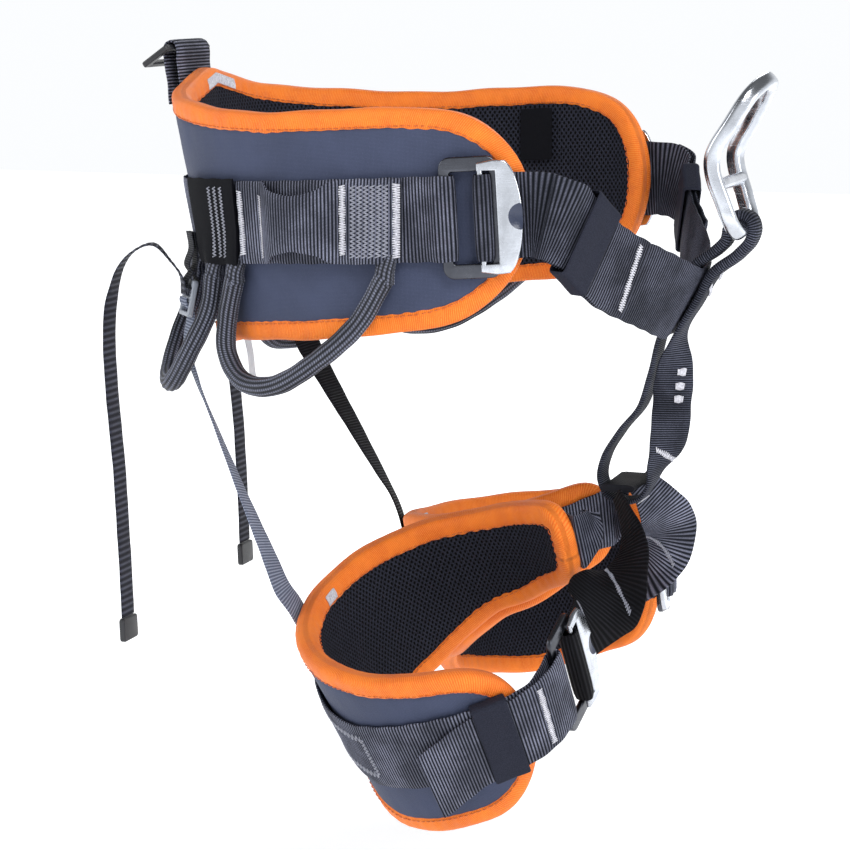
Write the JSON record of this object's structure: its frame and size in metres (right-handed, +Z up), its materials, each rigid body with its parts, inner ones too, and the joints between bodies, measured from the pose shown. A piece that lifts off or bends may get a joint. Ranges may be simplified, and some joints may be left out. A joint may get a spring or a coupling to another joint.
{
  "type": "tree climbing saddle",
  "caption": "Tree climbing saddle: padded belt with gear loops and a bent forged ring, two padded leg loops on a webbing tie-in loop, elastic rear risers and quick buckles.",
  "frame": {"origin": "centre of the waist opening, level with the belt's webbing", "axes": "+Z up; the wearer faces -Y and the wearer's right side is at -X"},
  "size_m": [0.3496, 0.3727, 0.4351],
  "materials": {
    "pad_shell": "smooth dark blue-grey cloth",
    "pad_liner": "black open mesh",
    "binding": "orange ribbed tape",
    "webbing": "black load webbing with pale cross ribs",
    "tubular_webbing": "tubular ribbed webbing",
    "smooth_elastic": "smooth dark elastic",
    "riser_elastic": "grey-blue ribbed elastic",
    "label": "white cloth label",
    "polished_alloy": "polished forged alloy",
    "dark_alloy": "dark anodised alloy with worn bright edges",
    "black_plastic": "moulded plastic",
    "grey_plastic": "moulded plastic"
  },
  "bodies": {
    "belt": {"belt_pad_shell": "pad_shell", "belt_pad_liner": "pad_liner", "belt_pad_binding": "binding", "belt_webbing": "webbing", "front_strap": "webbing", "tie_in_loop": "webbing", "leg_junction_strap": "webbing", "rear_loop_webbing": "webbing", "care_label": "label", "right_belt_sleeve": "smooth_elastic", "right_lanyard_loop": "webbing", "right_belt_buckle_frame": "dark_alloy", "right_front_strap_fold": "webbing", "right_riser_hanger": "webbing", "right_riser_strap": "riser_elastic", "left_belt_sleeve": "smooth_elastic", "left_lanyard_loop": "webbing", "left_belt_buckle_frame": "dark_alloy", "left_front_strap_fold": "webbing", "left_riser_hanger": "webbing", "left_riser_strap": "riser_elastic"},
    "ventral_ring": {"ventral_ring": "polished_alloy"},
    "rear_slide_buckle": {"rear_slide_buckle": "black_plastic"},
    "right_front_gear_loop": {"right_front_gear_loop": "tubular_webbing"},
    "right_rear_gear_loop": {"right_rear_gear_loop": "tubular_webbing"},
    "right_belt_buckle_plate": {"right_belt_buckle_plate": "polished_alloy"},
    "right_front_strap_keeper": {"right_front_strap_keeper": "smooth_elastic"},
    "right_riser_ladder_lock": {"right_riser_ladder_lock": "grey_plastic", "right_riser_tail": "riser_elastic", "right_riser_tail_tip": "black_plastic"},
    "right_leg_loop": {"right_leg_pad_shell": "pad_shell", "right_leg_pad_liner": "pad_liner", "right_leg_pad_binding": "binding", "right_leg_webbing": "webbing", "right_leg_front_strap": "webbing", "right_leg_buckle_frame": "dark_alloy"},
    "right_leg_buckle_plate": {"right_leg_buckle_plate": "polished_alloy"},
    "right_leg_keeper": {"right_leg_keeper": "smooth_elastic"},
    "left_front_gear_loop": {"left_front_gear_loop": "tubular_webbing"},
    "left_rear_gear_loop": {"left_rear_gear_loop": "tubular_webbing"},
    "left_belt_buckle_plate": {"left_belt_buckle_plate": "polished_alloy"},
    "left_front_strap_keeper": {"left_front_strap_keeper": "smooth_elastic"},
    "left_riser_ladder_lock": {"left_riser_ladder_lock": "grey_plastic", "left_riser_tail": "riser_elastic", "left_riser_tail_tip": "black_plastic"},
    "left_leg_loop": {"left_leg_pad_shell": "pad_shell", "left_leg_pad_liner": "pad_liner", "left_leg_pad_binding": "binding", "left_leg_webbing": "webbing", "left_leg_front_strap": "webbing", "left_leg_buckle_frame": "dark_alloy"},
    "left_leg_buckle_plate": {"left_leg_buckle_plate": "polished_alloy"},
    "left_leg_keeper": {"left_leg_keeper": "smooth_elastic"}
  },
  "joints": [
    {"name": "ventral_ring_swing", "type": "hinge", "parent": "belt", "child": "ventral_ring", "pos_m": [0, -0.189, -0.0095], "axis": [1, 0, 0], "range_deg": [-20, 100]},
    {"name": "rear_slide_buckle_swing", "type": "hinge", "parent": "belt", "child": "rear_slide_buckle", "pos_m": [0, 0.1515, 0.087], "axis": [1, 0, 0], "range_deg": [0, 55]},
    {"name": "right_front_gear_loop_swing", "type": "hinge", "parent": "belt", "child": "right_front_gear_loop", "pos_m": [-0.13361, 0.01832, -0.03106], "axis": [0.2437, 0.9682, -0.0571], "range_deg": [0, 45]},
    {"name": "right_rear_gear_loop_swing", "type": "hinge", "parent": "belt", "child": "right_rear_gear_loop", "pos_m": [-0.07825, 0.10478, -0.03722], "axis": [0.8437, 0.5334, -0.0605], "range_deg": [0, 30]},
    {"name": "right_belt_buckle_plate_tilt", "type": "hinge", "parent": "belt", "child": "right_belt_buckle_plate", "pos_m": [-0.14027, -0.08254, 0.00483], "axis": [0.0131, -0.0569, -0.9983], "range_deg": [0, 20]},
    {"name": "right_front_strap_keeper_slide", "type": "slide", "parent": "belt", "child": "right_front_strap_keeper", "axis": [0.7581, -0.267, -0.595], "range_m": [0, 0.004]},
    {"name": "right_riser_ladder_lock_tilt", "type": "hinge", "parent": "belt", "child": "right_riser_ladder_lock", "pos_m": [-0.07954, 0.11326, -0.04413], "axis": [0.8024, 0.5955, -0.0404], "range_deg": [0, 15]},
    {"name": "right_leg_loop_swing", "type": "hinge", "parent": "belt", "child": "right_leg_loop", "pos_m": [0, -0.124, -0.159], "axis": [1, 0, 0], "range_deg": [0, 25], "deforming": ["right_riser_strap"]},
    {"name": "right_leg_buckle_plate_tilt", "type": "hinge", "parent": "right_leg_loop", "child": "right_leg_buckle_plate", "pos_m": [-0.09528, -0.12473, -0.24357], "axis": [0.4155, -0.1036, -0.9037], "range_deg": [0, 20]},
    {"name": "right_leg_keeper_slide", "type": "hinge", "parent": "right_leg_loop", "child": "right_leg_keeper", "pos_m": [-0.079, -0.054, -0.253], "axis": [-0.3677, 0.1908, 0.9102], "range_deg": [-1.2, 0.6]},
    {"name": "left_front_gear_loop_swing", "type": "hinge", "parent": "belt", "child": "left_front_gear_loop", "pos_m": [0.13361, 0.01832, -0.03106], "axis": [0.2437, -0.9682, 0.0571], "range_deg": [0, 45]},
    {"name": "left_rear_gear_loop_swing", "type": "hinge", "parent": "belt", "child": "left_rear_gear_loop", "pos_m": [0.07825, 0.10478, -0.03722], "axis": [0.8437, -0.5334, 0.0605], "range_deg": [0, 30]},
    {"name": "left_belt_buckle_plate_tilt", "type": "hinge", "parent": "belt", "child": "left_belt_buckle_plate", "pos_m": [0.14027, -0.08254, 0.00483], "axis": [0.0131, 0.0569, 0.9983], "range_deg": [0, 20]},
    {"name": "left_front_strap_keeper_slide", "type": "slide", "parent": "belt", "child": "left_front_strap_keeper", "axis": [-0.7581, -0.267, -0.595], "range_m": [0, 0.004]},
    {"name": "left_riser_ladder_lock_tilt", "type": "hinge", "parent": "belt", "child": "left_riser_ladder_lock", "pos_m": [0.07954, 0.11326, -0.04413], "axis": [0.8024, -0.5955, 0.0404], "range_deg": [0, 15]},
    {"name": "left_leg_loop_swing", "type": "hinge", "parent": "belt", "child": "left_leg_loop", "pos_m": [0, -0.124, -0.159], "axis": [1, 0, 0], "range_deg": [0, 25], "deforming": ["left_riser_strap"]},
    {"name": "left_leg_buckle_plate_tilt", "type": "hinge", "parent": "left_leg_loop", "child": "left_leg_buckle_plate", "pos_m": [0.09781, -0.12273, -0.22622], "axis": [0.1331, 0.1036, 0.9857], "range_deg": [0, 20]},
    {"name": "left_leg_keeper_slide", "type": "hinge", "parent": "left_leg_loop", "child": "left_leg_keeper", "pos_m": [0.085, -0.052, -0.24], "axis": [0.0856, 0.1908, 0.9779], "range_deg": [-0.6, 1.2]}
  ]
}
